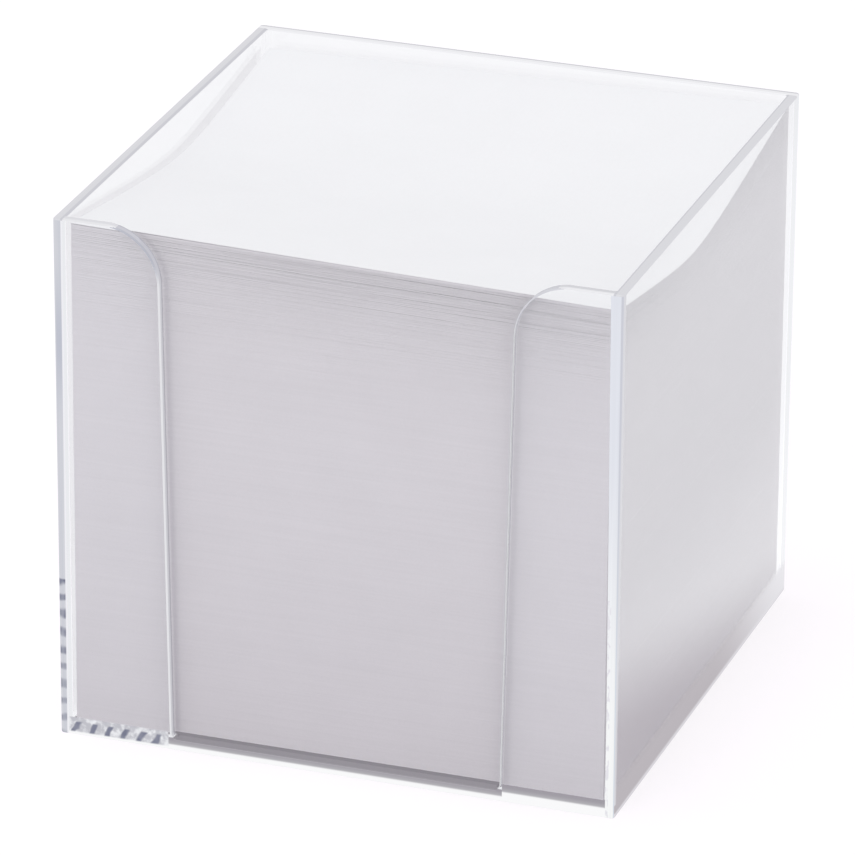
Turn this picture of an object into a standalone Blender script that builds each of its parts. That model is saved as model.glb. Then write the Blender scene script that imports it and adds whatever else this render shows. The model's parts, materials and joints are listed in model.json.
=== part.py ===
"""Memo box: a clear moulded box with a finger gap at the front, filled with loose square note sheets.

Run it with blender --background --python part.py, or from the text editor. Lengths are in metres and +Z
is up. The gapped front faces -Y, and the origin is the middle of the base, where the box stands.
"""

import math
import random

import bmesh
import bpy

# Driving dimensions
SHEET_SIDE = 0.090
BOX_HEIGHT = 0.090
WALL_AT_RIM = 0.0017
FLOOR_THICKNESS = 0.0020

# Room round the sheets, at the rim
SIDE_CLEARANCE = 0.0008
REAR_CLEARANCE = 0.0008
FRONT_CLEARANCE = 0.0008

# Moulded form of the box
OUTER_DRAFT = 0.0002
INNER_DRAFT = 0.0002
OUTER_CORNER_RADIUS = 0.0006
INNER_CORNER_RADIUS = 0.0003
EDGE_RADIUS = 0.00025
CORNER_STEPS = 4
EDGE_STEPS = 2
SHARP_FROM_DEGREES = 45

# Front flanges
FLANGE_WIDTH_AT_RIM = 0.0180
FLANGE_WIDTH_AT_FLOOR = 0.0195
FLANGE_TOP_RADIUS = 0.0096
FLANGE_TOP_STEPS = 12
FLANGE_FOOT_RADIUS = 0.0009
FLANGE_FOOT_STEPS = 4
RIM_RUN_OUT = 0.00005

# Underside: the floor is recessed inside a rim that the box stands on, round the mark of the moulding gate
BASE_RIM_WIDTH = 0.0026
BASE_RECESS_DEPTH = 0.0006
BASE_RECESS_RADIUS = 0.0020
GATE_RADIUS = 0.0014
GATE_HEIGHT = 0.0003
GATE_STEPS = 24

# Stack of sheets: packets from the floor up, then single sheets
PACKET_COUNT = 46
FLOOR_GAP = 0.0003
PACKET_GAP = 0.0001
SINGLE_SHEET_NAMES = ("loose_sheet_1", "loose_sheet_2", "top_sheet")
SHEET_THICKNESS = 0.0001
SHEET_GAP = 0.0003
RIM_DROP = 0.0023
LOOSE_SHIFT_ACROSS = 0.00015
LOOSE_SHIFT_ALONG = 0.00008
SHIFT_SEED = 7

# Curl: the upper sheets sag in the middle and rise to the front and to the back
CURL_HEIGHT = 0.0036
CURL_START_SHARE = 0.50
CURL_GROWTH_POWER = 2.0
CURL_BEND_SHARE = 0.35
CURL_STEPS = 16

# How many packets one hand takes out at a time, counted from the floor up
LIFTED_TOGETHER = (("lower_wad", 24), ("upper_wad", 16), ("top_wad", 6))

# One overrun serves every cut, one overlap every join, and points closer than the last are one point
OVERRUN = 0.0010
JOIN_DEPTH = 0.0005
MERGE_DISTANCE = 0.000005

CAVITY_WIDTH = SHEET_SIDE + 2 * SIDE_CLEARANCE
CAVITY_DEPTH = SHEET_SIDE + FRONT_CLEARANCE + REAR_CLEARANCE
BOX_WIDTH = CAVITY_WIDTH + 2 * WALL_AT_RIM
BOX_DEPTH = CAVITY_DEPTH + 2 * WALL_AT_RIM
STACK_CENTRE_Y = (FRONT_CLEARANCE - REAR_CLEARANCE) / 2
STACK_BASE = FLOOR_THICKNESS + FLOOR_GAP
SINGLE_PITCH = SHEET_THICKNESS + SHEET_GAP
STACK_TOP = BOX_HEIGHT - RIM_DROP - CURL_HEIGHT
PACKETS_TOP = STACK_TOP - len(SINGLE_SHEET_NAMES) * SINGLE_PITCH + SHEET_GAP
PACKET_PITCH = (PACKETS_TOP - STACK_BASE) / PACKET_COUNT


def clear_scene():
    """Removes every object that the file opens with."""
    for obj in list(bpy.data.objects):
        bpy.data.objects.remove(obj, do_unlink=True)


def new_collection(name):
    """A collection under the scene's own."""
    collection = bpy.data.collections.new(name)
    bpy.context.scene.collection.children.link(collection)
    return collection


def principled(name, color, roughness):
    """A material with its Principled BSDF, for the caller to set further."""
    material = bpy.data.materials.new(name)
    material.use_nodes = True
    shader = material.node_tree.nodes["Principled BSDF"]
    shader.inputs["Base Color"].default_value = (*color, 1.0)
    shader.inputs["Roughness"].default_value = roughness
    shader.inputs["Metallic"].default_value = 0.0
    return material, shader


def clear_plastic():
    """Glass-clear polystyrene, a touch blue in its thick edges."""
    material, shader = principled("clear_polystyrene", (0.96, 0.98, 1.0), 0.04)
    shader.inputs["Transmission Weight"].default_value = 1.0
    shader.inputs["IOR"].default_value = 1.59
    return material


def note_paper():
    """Uncoated white paper."""
    material, _ = principled("note_paper", (0.91, 0.91, 0.93), 0.85)
    return material


def add_object(bm, name, collection, material=None):
    """The bmesh as a named object in a collection."""
    mesh = bpy.data.meshes.new(name)
    bmesh.ops.recalc_face_normals(bm, faces=bm.faces)
    bm.to_mesh(mesh)
    bm.free()
    obj = bpy.data.objects.new(name, mesh)
    collection.objects.link(obj)
    if material:
        mesh.materials.append(material)
    return obj


def as_cutter(obj):
    """Marks a helper that only shapes another piece."""
    obj.hide_render = True
    obj.display_type = "WIRE"
    return obj


def shape_with(obj, helper, operation):
    """Cuts a helper out of the object, or joins it on."""
    modifier = obj.modifiers.new(helper.name, "BOOLEAN")
    modifier.operation = operation
    modifier.solver = "EXACT"
    modifier.object = helper


def drafted_block(width, depth, low, high, draft, radius, round_base):
    """A block with that width and depth at the rim, narrower by the draft on each side at the base.

    Its upright edges are rounded, and with round_base so are the edges of its lower face.
    """
    bm = bmesh.new()
    bmesh.ops.create_cube(bm, size=1.0)
    for vert in bm.verts:
        z = high if vert.co.z > 0 else low
        inset = draft * (BOX_HEIGHT - z) / BOX_HEIGHT
        vert.co.x = math.copysign(width / 2 - inset, vert.co.x)
        vert.co.y = math.copysign(depth / 2 - inset, vert.co.y)
        vert.co.z = z
    middle = (low + high) / 2
    rounded = [
        edge
        for edge in bm.edges
        if (edge.verts[0].co.z > middle) != (edge.verts[1].co.z > middle)
        or (round_base and max(vert.co.z for vert in edge.verts) < middle)
    ]
    bmesh.ops.bevel(bm, geom=rounded, offset=radius, segments=CORNER_STEPS, profile=0.5, affect="EDGES")
    return bm


def arc(centre, radius, start_degrees, end_degrees, steps):
    """Points along a part of a circle, both ends included."""
    turn = end_degrees - start_degrees
    angles = [math.radians(start_degrees + turn * step / steps) for step in range(steps + 1)]
    return [(centre[0] + radius * math.cos(a), centre[1] + radius * math.sin(a)) for a in angles]


def finger_gap_outline():
    """The front gap seen from the front: its sill, its slanted sides and the round tops of the flanges."""
    at_floor = BOX_WIDTH / 2 - FLANGE_WIDTH_AT_FLOOR
    at_rim = BOX_WIDTH / 2 - FLANGE_WIDTH_AT_RIM
    foot = (at_floor - FLANGE_FOOT_RADIUS, FLOOR_THICKNESS + FLANGE_FOOT_RADIUS)
    top = (at_rim + FLANGE_TOP_RADIUS, BOX_HEIGHT - FLANGE_TOP_RADIUS + RIM_RUN_OUT)
    right = arc(foot, FLANGE_FOOT_RADIUS, -90, 0, FLANGE_FOOT_STEPS)
    right += arc(top, FLANGE_TOP_RADIUS, 180, 90, FLANGE_TOP_STEPS)
    right.append((top[0], BOX_HEIGHT + OVERRUN))
    left = [(-x, z) for x, z in reversed(right)]
    return right + left


def finger_gap_cutter(collection):
    """A flat outline, extruded from in front of the front wall to just inside it."""
    front = -BOX_DEPTH / 2 - OVERRUN
    back = -CAVITY_DEPTH / 2 + INNER_DRAFT + INNER_CORNER_RADIUS + OVERRUN
    curve = bpy.data.curves.new("finger_gap_outline", "CURVE")
    curve.dimensions = "2D"
    curve.fill_mode = "BOTH"
    curve.extrude = (back - front) / 2
    outline = finger_gap_outline()
    spline = curve.splines.new("POLY")
    spline.points.add(len(outline) - 1)
    spline.use_cyclic_u = True
    for point, (x, z) in zip(spline.points, outline):
        point.co = (x, z, 0.0, 1.0)
    guide = bpy.data.objects.new("finger_gap_outline", curve)
    guide.location = (0.0, (front + back) / 2, 0.0)
    guide.rotation_euler = (math.pi / 2, 0.0, 0.0)
    collection.objects.link(guide)
    bpy.context.view_layer.update()
    evaluated = guide.evaluated_get(bpy.context.evaluated_depsgraph_get())
    mesh = bpy.data.meshes.new_from_object(evaluated)
    bm = bmesh.new()
    bm.from_mesh(mesh)
    bmesh.ops.remove_doubles(bm, verts=bm.verts, dist=MERGE_DISTANCE)
    cutter = add_object(bm, "finger_gap_cutter", collection)
    cutter.matrix_world = guide.matrix_world.copy()
    bpy.data.objects.remove(guide, do_unlink=True)
    return as_cutter(cutter)


def cavity_cutter(collection):
    """The space for the sheets, open at the rim."""
    high = BOX_HEIGHT + OVERRUN
    bm = drafted_block(
        CAVITY_WIDTH, CAVITY_DEPTH, FLOOR_THICKNESS, high, INNER_DRAFT, INNER_CORNER_RADIUS, True
    )
    return as_cutter(add_object(bm, "cavity_cutter", collection))


def base_recess_cutter(collection):
    """The shallow recess inside the rim that the box stands on."""
    width = BOX_WIDTH - 2 * BASE_RIM_WIDTH
    depth = BOX_DEPTH - 2 * BASE_RIM_WIDTH
    bm = drafted_block(
        width, depth, -OVERRUN, BASE_RECESS_DEPTH, OUTER_DRAFT, BASE_RECESS_RADIUS, False
    )
    return as_cutter(add_object(bm, "base_recess_cutter", collection))


def gate_mark(collection):
    """The stub that the moulding gate leaves under the floor, clear of the surface below."""
    bm = bmesh.new()
    low = BASE_RECESS_DEPTH - GATE_HEIGHT
    high = BASE_RECESS_DEPTH + JOIN_DEPTH
    bmesh.ops.create_cone(
        bm, cap_ends=True, segments=GATE_STEPS, radius1=GATE_RADIUS, radius2=GATE_RADIUS, depth=high - low
    )
    bmesh.ops.translate(bm, verts=bm.verts, vec=(0.0, 0.0, (low + high) / 2))
    return as_cutter(add_object(bm, "gate_mark", collection))


def round_edges(obj):
    """Rounds the sharp edges that cuts have left, and leaves the steps of round corners alone."""
    rounding = obj.modifiers.new("edge_rounding", "BEVEL")
    rounding.limit_method = "ANGLE"
    rounding.angle_limit = math.radians(SHARP_FROM_DEGREES)
    rounding.width = EDGE_RADIUS
    rounding.segments = EDGE_STEPS
    rounding.use_clamp_overlap = False


def build_box(collection, cutters):
    """The one-piece box: a drafted block, hollowed, gapped at the front and recessed below."""
    bm = drafted_block(BOX_WIDTH, BOX_DEPTH, 0.0, BOX_HEIGHT, OUTER_DRAFT, OUTER_CORNER_RADIUS, False)
    shell = add_object(bm, "box_shell", collection, clear_plastic())
    shape_with(shell, cavity_cutter(cutters), "DIFFERENCE")
    shape_with(shell, finger_gap_cutter(cutters), "DIFFERENCE")
    shape_with(shell, base_recess_cutter(cutters), "DIFFERENCE")
    round_edges(shell)
    shape_with(shell, gate_mark(cutters), "UNION")
    shell.data.shade_smooth()
    shell.data.set_sharp_from_angle(angle=math.radians(SHARP_FROM_DEGREES))


def curl_at(level_share):
    """How far the front and back edges stand above the middle, at this share of the stack's height."""
    above = max(0.0, (level_share - CURL_START_SHARE) / (1.0 - CURL_START_SHARE))
    return CURL_HEIGHT * above**CURL_GROWTH_POWER


def curl_shape_share(side_share):
    """The rise at a place from -1 (front edge) to 1 (back edge), as a share of the rise at the edges."""
    bend = CURL_BEND_SHARE
    return (math.hypot(side_share, bend) - bend) / (math.hypot(1.0, bend) - bend)


def sheet_block(name, height, curl_below, curl_above, collection, material):
    """A square block of paper, as one sheet or several, bent lengthwise on each face by its curl."""
    bm = bmesh.new()
    bmesh.ops.create_cube(bm, size=1.0)
    if curl_above > 0.0:
        lengthwise = [
            edge for edge in bm.edges if abs(edge.verts[0].co.y - edge.verts[1].co.y) > 0.5
        ]
        bmesh.ops.subdivide_edges(bm, edges=lengthwise, cuts=CURL_STEPS - 1, use_grid_fill=True)
    for vert in bm.verts:
        rise = curl_shape_share(2 * vert.co.y)
        if vert.co.z > 0:
            vert.co.z = height + curl_above * rise
        else:
            vert.co.z = curl_below * rise
        vert.co.x *= SHEET_SIDE
        vert.co.y *= SHEET_SIDE
    return add_object(bm, name, collection, material)


def hand_frame(name, z, parent, collection):
    """An empty at the foot of what lifts out together, standing on the one below it."""
    frame = bpy.data.objects.new(name, None)
    collection.objects.link(frame)
    frame.parent = parent
    frame.location = (0.0, 0.0, z - (parent.matrix_world.translation.z if parent else 0.0))
    bpy.context.view_layer.update()
    return frame


def place(block, frame, shift, z):
    """Puts a block of paper in the stack, a little off the middle, carried by its frame."""
    base = frame.matrix_world.translation
    block.parent = frame
    block.location = (shift[0], STACK_CENTRE_Y + shift[1], z - base.z)


def loose_shift(source):
    """How far a packet lies off the middle of the stack, sideways and lengthwise."""
    across = source.uniform(-LOOSE_SHIFT_ACROSS, LOOSE_SHIFT_ACROSS)
    return across, source.uniform(-LOOSE_SHIFT_ALONG, LOOSE_SHIFT_ALONG)


def build_packets(collection, paper, source):
    """The packets of sheets, from the floor up. It returns the frame of the last ones."""
    frame = None
    index = 0
    for name, count in LIFTED_TOGETHER:
        frame = hand_frame(name, STACK_BASE + index * PACKET_PITCH, frame, collection)
        for _ in range(count):
            below = curl_at(index / PACKET_COUNT)
            above = curl_at((index + 1) / PACKET_COUNT)
            height = PACKET_PITCH - PACKET_GAP
            block = sheet_block(f"sheet_packet_{index + 1:02d}", height, below, above, collection, paper)
            place(block, frame, loose_shift(source), STACK_BASE + index * PACKET_PITCH)
            index += 1
    return frame


def build_single_sheets(collection, paper, source, frame):
    """The last sheets on top, each lying free on the one below."""
    for index, name in enumerate(SINGLE_SHEET_NAMES):
        z = PACKETS_TOP + index * SINGLE_PITCH
        frame = hand_frame(f"{name}_frame", z, frame, collection)
        sheet = sheet_block(name, SHEET_THICKNESS, CURL_HEIGHT, CURL_HEIGHT, collection, paper)
        place(sheet, frame, loose_shift(source), z)


def main():
    clear_scene()
    parts = new_collection("memo_box")
    cutters = new_collection("memo_box_cutters")
    build_box(parts, cutters)
    source = random.Random(SHIFT_SEED)
    paper = note_paper()
    frame = build_packets(parts, paper, source)
    build_single_sheets(parts, paper, source, frame)


main()
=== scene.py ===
"""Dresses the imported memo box: a clear moulded box with a finger gap, filled with loose note sheets.

The box is one clear moulding. Its sheets are modelled one by one, in the packets and single sheets
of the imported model, so that their cut edges show fine lines and the topmost ones curl as loose paper
does. Lengths are in metres, +Z is up and the gapped front faces -Y.
"""

from __future__ import annotations

import json
import logging
import math
from dataclasses import dataclass
from enum import Enum
from functools import reduce

import bmesh
import bpy
import numpy as np
from mathutils import Matrix, Vector

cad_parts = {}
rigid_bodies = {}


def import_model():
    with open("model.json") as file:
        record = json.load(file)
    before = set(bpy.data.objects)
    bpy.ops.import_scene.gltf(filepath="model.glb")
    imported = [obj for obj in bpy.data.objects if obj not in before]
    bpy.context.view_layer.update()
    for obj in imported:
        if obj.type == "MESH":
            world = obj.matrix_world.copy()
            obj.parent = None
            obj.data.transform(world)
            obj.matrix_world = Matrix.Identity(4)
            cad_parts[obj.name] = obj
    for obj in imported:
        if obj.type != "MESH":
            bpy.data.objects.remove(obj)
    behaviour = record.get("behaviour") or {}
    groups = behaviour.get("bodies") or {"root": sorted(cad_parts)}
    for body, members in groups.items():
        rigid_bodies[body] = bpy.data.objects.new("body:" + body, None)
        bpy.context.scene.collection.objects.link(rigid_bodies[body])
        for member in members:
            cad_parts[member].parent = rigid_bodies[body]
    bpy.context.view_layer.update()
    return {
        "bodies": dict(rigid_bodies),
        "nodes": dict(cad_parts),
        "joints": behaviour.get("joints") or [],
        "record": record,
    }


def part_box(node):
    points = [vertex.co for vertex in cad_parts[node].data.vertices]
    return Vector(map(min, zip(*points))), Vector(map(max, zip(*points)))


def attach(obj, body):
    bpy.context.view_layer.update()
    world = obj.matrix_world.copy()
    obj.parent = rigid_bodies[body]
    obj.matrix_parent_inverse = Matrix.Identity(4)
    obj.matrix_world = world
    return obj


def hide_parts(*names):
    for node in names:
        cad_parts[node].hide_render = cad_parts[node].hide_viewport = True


LOG = logging.getLogger("memo_box")
PHOTO_SIDE_PIXELS = 855

Pair = tuple[float, float]
Triple = tuple[float, float, float]
Colour = Triple
Outline = list[Pair]
Node = bpy.types.Node
Socket = bpy.types.NodeSocket
Material = bpy.types.Material
Finishes = tuple[Material, Material]

WHITE: Colour = (1.0, 1.0, 1.0)
# The middle of a noise texture's values.
NOISE_MIDDLE = 0.5
# A surface faces along an axis where its direction has more than this much of it.
FACING = 0.5
# The profile at which a bevel is an arc.
ROUND_PROFILE = 0.5


class Slot(Enum):
    """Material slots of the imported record."""

    CLEAR_PLASTIC = "clear_polystyrene"
    PAPER = "note_paper"


class Shaping(Enum):
    """What a helper solid does to the moulding."""

    CUT = "DIFFERENCE"
    JOIN = "UNION"


class BoxFace(Enum):
    """Material slots of the moulding's mesh."""

    POLISHED = 0
    RIM = 1
    GAP_EDGE = 2


class SheetFace(Enum):
    """Material slots of a sheet's mesh."""

    FLAT = 0
    CUT_EDGE = 1


@dataclass(frozen=True)
class Spot:
    """A place on the object, whole and as its three coordinates."""

    whole: Socket
    x: Socket
    y: Socket
    z: Socket


class Wiring:
    """Adds shader nodes to one tree and links them."""

    def __init__(self, tree: bpy.types.NodeTree) -> None:
        """Starts with an empty tree.

        Args:
            tree: the node tree to fill.
        """
        self.tree = tree
        self.tree.nodes.clear()

    def add(self, kind: str, **settings: object) -> Node:
        """Adds a node.

        Args:
            kind: the node's type name, without its ShaderNode prefix.
            **settings: properties of the node, by name.

        Returns:
            The new node.
        """
        prefix = "" if kind.startswith("Node") else "ShaderNode"
        node = self.tree.nodes.new(prefix + kind)
        for name, value in settings.items():
            setattr(node, name, value)
        return node

    def link(self, source: Socket, target: Socket) -> None:
        """Links an output to an input."""
        self.tree.links.new(source, target)

    def feed(self, value: Socket | Triple | float, target: Socket) -> None:
        """Links an output to an input, or sets the input to a plain value.

        Args:
            value: the output, or a number, a colour or three numbers.
            target: the input.
        """
        if isinstance(value, Socket):
            self.link(value, target)
        else:
            target.default_value = (*value, 1.0) if target.type == "RGBA" else value

    def math(
        self, operation: str, first: Socket | float, second: Socket | float = 0.0, clamp: bool = False
    ) -> Socket:
        """Adds a Math node.

        Args:
            operation: the Math node's operation.
            first: its first value.
            second: its second value.
            clamp: whether the result stays from 0 to 1.

        Returns:
            The node's output.
        """
        node = self.add("Math", operation=operation, use_clamp=clamp)
        self.feed(first, node.inputs[0])
        self.feed(second, node.inputs[1])
        return node.outputs[0]

    def plus(self, first: Socket, second: Socket | float) -> Socket:
        """The sum of two values."""
        return self.math("ADD", first, second)

    def minus(self, first: Socket | float, second: Socket | float) -> Socket:
        """The first value less the second."""
        return self.math("SUBTRACT", first, second)

    def times(self, first: Socket, second: Socket | float) -> Socket:
        """The product of two values."""
        return self.math("MULTIPLY", first, second)

    def higher(self, first: Socket, second: Socket) -> Socket:
        """The higher of two values."""
        return self.math("MAXIMUM", first, second)

    def magnitude(self, value: Socket) -> Socket:
        """A value without its sign."""
        return self.math("ABSOLUTE", value)

    def above(self, value: Socket, limit: float) -> Socket:
        """A mask of where a value is over a limit."""
        return self.math("GREATER_THAN", value, limit)

    def below(self, value: Socket, limit: float) -> Socket:
        """A mask of where a value is under a limit."""
        return self.math("LESS_THAN", value, limit)

    def all_of(self, *masks: Socket) -> Socket:
        """A mask of where all of several masks show."""
        return reduce(self.times, masks)

    def any_of(self, *masks: Socket) -> Socket:
        """A mask of where any of several masks shows."""
        return reduce(self.higher, masks)

    def between(self, value: Socket, low: float, high: float) -> Socket:
        """Stretches a value so that low gives 0 and high gives 1, smoothly and clamped.

        Args:
            value: the output to stretch.
            low: what gives 0.
            high: what gives 1, which may be the lower of the two.

        Returns:
            The stretched value.
        """
        node = self.add("MapRange", interpolation_type="SMOOTHSTEP")
        self.feed(low, node.inputs["From Min"])
        self.feed(high, node.inputs["From Max"])
        self.link(value, node.inputs["Value"])
        return node.outputs["Result"]

    def under(self, value: Socket, limit: float, blur: float) -> Socket:
        """A mask of where a value is under a limit, with a soft edge."""
        return self.between(value, limit + blur, limit - blur)

    def blend(self, factor: Socket, first: Socket | Colour, second: Socket | Colour) -> Socket:
        """Mixes two colours.

        Args:
            factor: how much of the second, from 0 to 1.
            first: the first colour.
            second: the second colour.

        Returns:
            The mixed colour.
        """
        node = self.add("Mix", data_type="RGBA")
        self.link(factor, node.inputs["Factor"])
        colours = [socket for socket in node.inputs if socket.type == "RGBA"]
        self.feed(first, colours[0])
        self.feed(second, colours[1])
        return next(socket for socket in node.outputs if socket.type == "RGBA")

    def place(self) -> Spot:
        """The place on the object.

        Returns:
            The place, whole and as its three coordinates.
        """
        whole = self.add("TexCoord").outputs["Object"]
        parts = self.add("SeparateXYZ")
        self.link(whole, parts.inputs[0])
        return Spot(whole, *parts.outputs)

    def facing(self) -> tuple[Socket, ...]:
        """The way that the surface faces on the object.

        Returns:
            The direction's three coordinates.
        """
        parts = self.add("SeparateXYZ")
        self.link(self.add("TexCoord").outputs["Normal"], parts.inputs[0])
        return tuple(parts.outputs)

    def bump(self, height: Socket, distance: float) -> Socket:
        """Turns a height into a bumped direction of the surface.

        Args:
            height: the height, from 0 to 1.
            distance: how high 1 stands, in metres.

        Returns:
            The direction.
        """
        node = self.add("Bump")
        self.feed(distance, node.inputs["Distance"])
        self.link(height, node.inputs["Height"])
        return node.outputs["Normal"]

    def glow(self, colour: Socket | Colour, strength: Socket | float = 1.0, kind: str = "Emission") -> Node:
        """Adds a shader that gives light.

        Args:
            colour: the light's colour.
            strength: its strength.
            kind: the node's type name, Emission or Background.

        Returns:
            The shader.
        """
        node = self.add(kind)
        self.feed(colour, node.inputs["Color"])
        self.feed(strength, node.inputs["Strength"])
        return node

    def mix(self, factor: Socket, first: Node, second: Node) -> Node:
        """Mixes two shaders.

        Args:
            factor: how much of the second, from 0 to 1.
            first: the first shader.
            second: the second shader.

        Returns:
            The mixed shader.
        """
        node = self.add("MixShader")
        self.link(factor, node.inputs["Fac"])
        self.link(first.outputs[0], node.inputs[1])
        self.link(second.outputs[0], node.inputs[2])
        return node

    def put_out(self, shader: Node, kind: str = "OutputMaterial") -> None:
        """Makes a shader the one that shows."""
        self.link(shader.outputs[0], self.add(kind).inputs["Surface"])


@dataclass(frozen=True)
class Grain:
    """A noise texture on the object: its cells in a metre, its finer octaves, its stretch and its turn.

    The turn is in degrees. Marks show where the texture's value rises through the band.
    """

    scale: float
    detail: float
    stretch: Triple = (1.0, 1.0, 1.0)
    turn: Triple = (0.0, 0.0, 0.0)
    band: Pair = (0.0, 1.0)

    def read(self, wiring: Wiring, place: Socket) -> Socket:
        """Reads the texture.

        Args:
            wiring: the nodes that it is for.
            place: the place on the object.

        Returns:
            The texture's value, from 0 to 1.
        """
        mapping = wiring.add("Mapping")
        wiring.feed(self.stretch, mapping.inputs["Scale"])
        wiring.feed(tuple(math.radians(angle) for angle in self.turn), mapping.inputs["Rotation"])
        wiring.link(place, mapping.inputs["Vector"])
        noise = wiring.add("TexNoise")
        wiring.feed(self.scale, noise.inputs["Scale"])
        wiring.feed(self.detail, noise.inputs["Detail"])
        wiring.link(mapping.outputs["Vector"], noise.inputs["Vector"])
        return noise.outputs["Fac"]

    def marks(self, wiring: Wiring, place: Socket) -> Socket:
        """A mask of the marks, with soft edges."""
        return wiring.between(self.read(wiring, place), *self.band)


class EffectGroup:
    """A shader node group with named inputs and outputs, for an effect that several finishes use."""

    def __init__(self, name: str, inputs: dict[str, float | Colour], outputs: dict[str, str]) -> None:
        """Makes the group's sockets.

        Args:
            name: the group's name.
            inputs: each input's starting value, a number or a colour.
            outputs: each output's socket type.
        """
        self.tree = bpy.data.node_groups.new(name, "ShaderNodeTree")
        for label, value in inputs.items():
            kind = "NodeSocketFloat" if isinstance(value, float) else "NodeSocketColor"
            socket = self.tree.interface.new_socket(label, in_out="INPUT", socket_type=kind)
            socket.default_value = value if kind == "NodeSocketFloat" else (*value, 1.0)
        for label, kind in outputs.items():
            self.tree.interface.new_socket(label, in_out="OUTPUT", socket_type=kind)
        self.wiring = Wiring(self.tree)
        self.given = self.wiring.add("NodeGroupInput").outputs
        self.result = self.wiring.add("NodeGroupOutput").inputs

    def place(self, wiring: Wiring, values: dict[str, float | Colour]) -> bpy.types.NodeOutputs:
        """Places the group in a material.

        Args:
            wiring: the material's nodes.
            values: the inputs' values there.

        Returns:
            The outputs of the group's node.
        """
        node = wiring.add("Group", node_tree=self.tree)
        for label, value in values.items():
            wiring.feed(value, node.inputs[label])
        return node.outputs


@dataclass(frozen=True)
class PaperFibre:
    """Uncoated paper: a cloudy tone, fine fibres in the surface, and layers in the sides of a stack."""

    clouds: Grain = Grain(90.0, 3.0)
    fibres: Grain = Grain(2600.0, 4.0, stretch=(1.0, 0.35, 1.0), turn=(0.0, 0.0, 24.0))
    layers: Grain = Grain(35.0, 2.0, stretch=(1.0, 1.0, 80.0))
    fibre_roughness: float = 1.5

    def group(self) -> EffectGroup:
        """Builds the node group.

        Returns:
            The group, with the outputs Colour, Roughness and Height.
        """
        group = EffectGroup(
            "paper_fibre",
            {"Tone": (0.9, 0.9, 0.9), "Cloudiness": 0.02, "Layers": 0.0, "Roughness": 0.85},
            {"Colour": "NodeSocketColor", "Roughness": "NodeSocketFloat", "Height": "NodeSocketFloat"},
        )
        wiring, given, result = group.wiring, group.given, group.result
        place = wiring.add("TexCoord").outputs["Object"]
        fibres = self.fibres.read(wiring, place)
        fine = wiring.times(wiring.minus(fibres, NOISE_MIDDLE), given["Cloudiness"])
        clouds = wiring.minus(self.clouds.read(wiring, place), NOISE_MIDDLE)
        shade = wiring.plus(wiring.times(clouds, given["Cloudiness"]), fine)
        layers = wiring.minus(self.layers.read(wiring, place), NOISE_MIDDLE)
        shade = wiring.plus(shade, wiring.times(layers, given["Layers"]))
        tint = wiring.add("VectorMath", operation="SCALE")
        wiring.link(given["Tone"], tint.inputs[0])
        wiring.link(wiring.plus(shade, 1.0), tint.inputs["Scale"])
        wiring.link(tint.outputs[0], result["Colour"])
        uneven = wiring.times(fine, self.fibre_roughness)
        wiring.link(wiring.math("ADD", given["Roughness"], uneven, clamp=True), result["Roughness"])
        wiring.link(fibres, result["Height"])
        return group


@dataclass(frozen=True)
class HandlingMarks:
    """Handling marks on clear plastic: hairlines in two directions, and a faint haze between them."""

    hairlines: tuple[Grain, ...] = (
        Grain(55.0, 2.0, stretch=(1.0, 1.0, 60.0), turn=(17.0, 31.0, 8.0), band=(0.71, 0.76)),
        Grain(55.0, 2.0, stretch=(60.0, 1.0, 1.0), turn=(-21.0, 12.0, 40.0), band=(0.71, 0.76)),
    )
    haze: Grain = Grain(45.0, 4.0, band=(0.45, 0.85))
    haze_share: float = 0.25
    ripple: Grain = Grain(28.0, 1.0)

    def group(self) -> EffectGroup:
        """Builds the node group.

        Returns:
            The group, with the outputs Roughness and Height.
        """
        group = EffectGroup(
            "handling_marks",
            {"Smooth": 0.0, "Marked": 0.1},
            {"Roughness": "NodeSocketFloat", "Height": "NodeSocketFloat"},
        )
        wiring, given = group.wiring, group.given
        place = wiring.add("TexCoord").outputs["Object"]
        lines = [grain.marks(wiring, place) for grain in self.hairlines]
        haze = wiring.times(self.haze.marks(wiring, place), self.haze_share)
        span = wiring.minus(given["Marked"], given["Smooth"])
        rough = wiring.plus(given["Smooth"], wiring.times(span, wiring.any_of(*lines, haze)))
        wiring.link(rough, group.result["Roughness"])
        wiring.link(self.ripple.read(wiring, place), group.result["Height"])
        return group


@dataclass(frozen=True)
class Bars:
    """Short uneven dark bars of painted shade, which break up the painted light of the ends."""

    colour: Colour
    pitch: float
    narrow: float
    full: float = 0.9
    wander: Grain = Grain(300.0, 2.0)
    wander_turn: float = 5.0
    fade: Grain = Grain(500.0, 2.0)
    fade_share: float = 0.9
    fade_least: float = 0.5

    def mask(self, wiring: Wiring, spot: Spot, across: Socket) -> Socket:
        """Works out where the bars are.

        Args:
            wiring: the material's nodes.
            spot: the place on the object.
            across: the coordinate that runs across the bars.

        Returns:
            A mask of the bars.
        """
        wander = wiring.times(self.wander.read(wiring, spot.whole), self.wander_turn)
        turns = wiring.times(across, math.tau / self.pitch)
        wave = wiring.math("SINE", wiring.plus(turns, wander))
        fade = wiring.times(self.fade.read(wiring, spot.whole), self.fade_share)
        strength = wiring.math("ADD", fade, self.fade_least, clamp=True)
        return wiring.times(wiring.between(wave, self.narrow, self.full), strength)


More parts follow.
